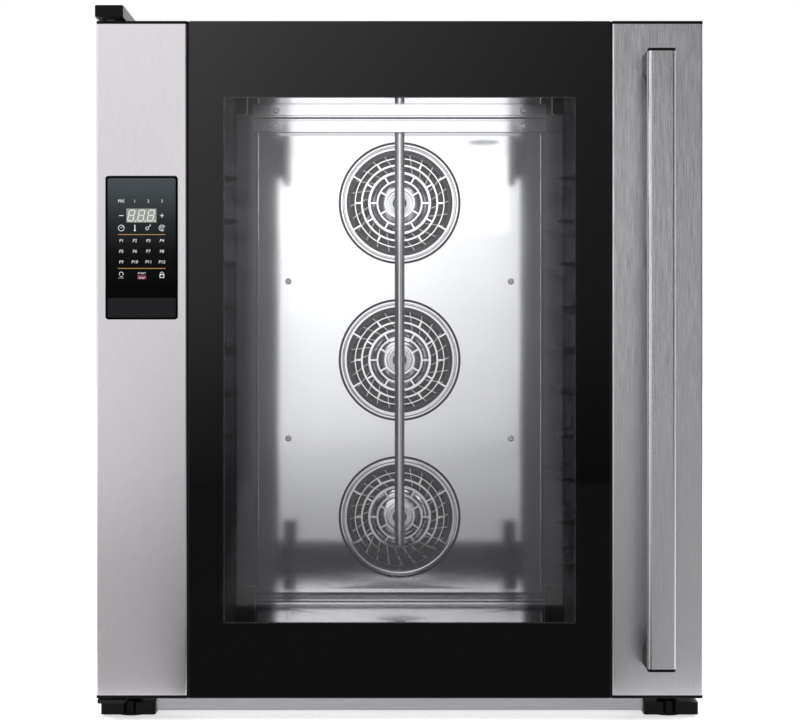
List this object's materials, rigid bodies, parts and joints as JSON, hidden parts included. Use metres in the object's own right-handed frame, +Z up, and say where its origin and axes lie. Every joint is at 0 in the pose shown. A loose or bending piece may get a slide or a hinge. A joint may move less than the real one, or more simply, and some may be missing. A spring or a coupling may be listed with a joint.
{
  "type": "convection oven",
  "caption": "Tall counter-top convection oven with a full-height side-hinged glass door, vertical bar handle, side control panel and stacked fans behind a stamped guard.",
  "frame": {"origin": "middle of the base of the whole object's box, on the surface it stands on", "axes": "+X to the right seen from the front, -Y out of the front through the door, +Z up"},
  "size_m": [0.8, 0.811, 0.952],
  "materials": {
    "satin_steel": "satin stainless sheet",
    "column_steel": "vertically brushed stainless",
    "handle_steel": "vertically brushed stainless tube",
    "polished_steel": "bright annealed stainless",
    "element_steel": "heat-darkened steel sheath",
    "motor_aluminium": "cast, matt",
    "gasket_rubber": "matt black silicone",
    "glass_wool": "fibrous slab",
    "hinge_steel": "zinc-grey, satin",
    "black_plastic": "fine-grained black moulding",
    "brass_fitting": "machined",
    "circuit_board": "green solder mask",
    "black_glass": "black printed border round a clear window",
    "clear_glass": "clear toughened glass",
    "bezel_chrome": "bright",
    "panel_gloss": "black gloss touch glass",
    "bush_brass": "sintered bearing",
    "led_white": "opal light cover",
    "roller_plastic": "natural nylon"
  },
  "bodies": {
    "cabinet": {"base_pan": "satin_steel", "side_panel_left": "satin_steel", "side_panel_right": "satin_steel", "top_panel": "satin_steel", "rear_panel": "satin_steel", "front_frame": "satin_steel", "front_skirt": "satin_steel", "feet": "black_plastic", "cavity_left_wall": "polished_steel", "cavity_right_wall": "polished_steel", "cavity_ceiling": "polished_steel", "cavity_floor": "polished_steel", "cavity_back_wall": "polished_steel", "drain_pipe": "polished_steel", "fan_cover": "polished_steel", "cover_strips": "polished_steel", "cover_screws": "polished_steel", "steam_pipe": "polished_steel", "heating_element_bottom": "element_steel", "heating_element_middle": "element_steel", "heating_element_top": "element_steel", "fan_motor_bottom": "motor_aluminium", "fan_motor_middle": "motor_aluminium", "fan_motor_top": "motor_aluminium", "tray_rack_left": "polished_steel", "tray_rack_right": "polished_steel", "door_gasket": "gasket_rubber", "insulation": "glass_wool", "hinge_arm_top": "hinge_steel", "hinge_arm_bottom": "hinge_steel", "hinge_arm_cap": "black_plastic", "hinge_pins": "hinge_steel", "exhaust_outlet": "polished_steel", "water_inlet": "brass_fitting", "cable_gland": "black_plastic", "power_board": "circuit_board", "water_valve": "black_plastic", "catch_bracket": "hinge_steel"},
    "door": {"door_left_column": "column_steel", "door_right_column": "column_steel", "column_caps": "black_plastic", "door_top_rail": "satin_steel", "door_bottom_rail": "satin_steel", "door_outer_glass": "black_glass", "door_inner_glass": "clear_glass", "glass_clamp_strips": "satin_steel", "control_bezel": "bezel_chrome", "control_glass": "panel_gloss", "control_board": "circuit_board", "handle_bar": "handle_steel", "handle_supports": "black_plastic", "handle_end_caps": "black_plastic", "hinge_bushes": "bush_brass", "door_strike": "hinge_steel", "led_light_bars": "led_white"},
    "fan_bottom": {"fan_wheel_bottom": "polished_steel"},
    "fan_middle": {"fan_wheel_middle": "polished_steel"},
    "fan_top": {"fan_wheel_top": "polished_steel"},
    "catch_lever": {"catch_arm": "hinge_steel"},
    "catch_wheel": {"catch_roller": "roller_plastic"}
  },
  "joints": [
    {"name": "door_hinge", "type": "hinge", "parent": "cabinet", "child": "door", "pos_m": [-0.381, -0.3185, 0.477], "axis": [0, 0, -1], "range_deg": [0, 180]},
    {"name": "catch_pivot", "type": "hinge", "parent": "cabinet", "child": "catch_lever", "pos_m": [0.3665, -0.2445, 0.477], "axis": [0, 0, 1], "range_deg": [0, 10], "stiffness_Nm_per_rad": 1},
    {"name": "roller_spin", "type": "hinge", "parent": "catch_lever", "child": "catch_wheel", "pos_m": [0.3665, -0.2765, 0.477], "axis": [0, 0, 1], "continuous": true},
    {"name": "fan_spin_bottom", "type": "hinge", "parent": "cabinet", "child": "fan_bottom", "pos_m": [0, 0.2505, 0.223], "axis": [0, 1, 0], "continuous": true},
    {"name": "fan_spin_middle", "type": "hinge", "parent": "cabinet", "child": "fan_middle", "pos_m": [0, 0.2505, 0.477], "axis": [0, 1, 0], "continuous": true},
    {"name": "fan_spin_top", "type": "hinge", "parent": "cabinet", "child": "fan_top", "pos_m": [0, 0.2505, 0.731], "axis": [0, 1, 0], "continuous": true}
  ]
}
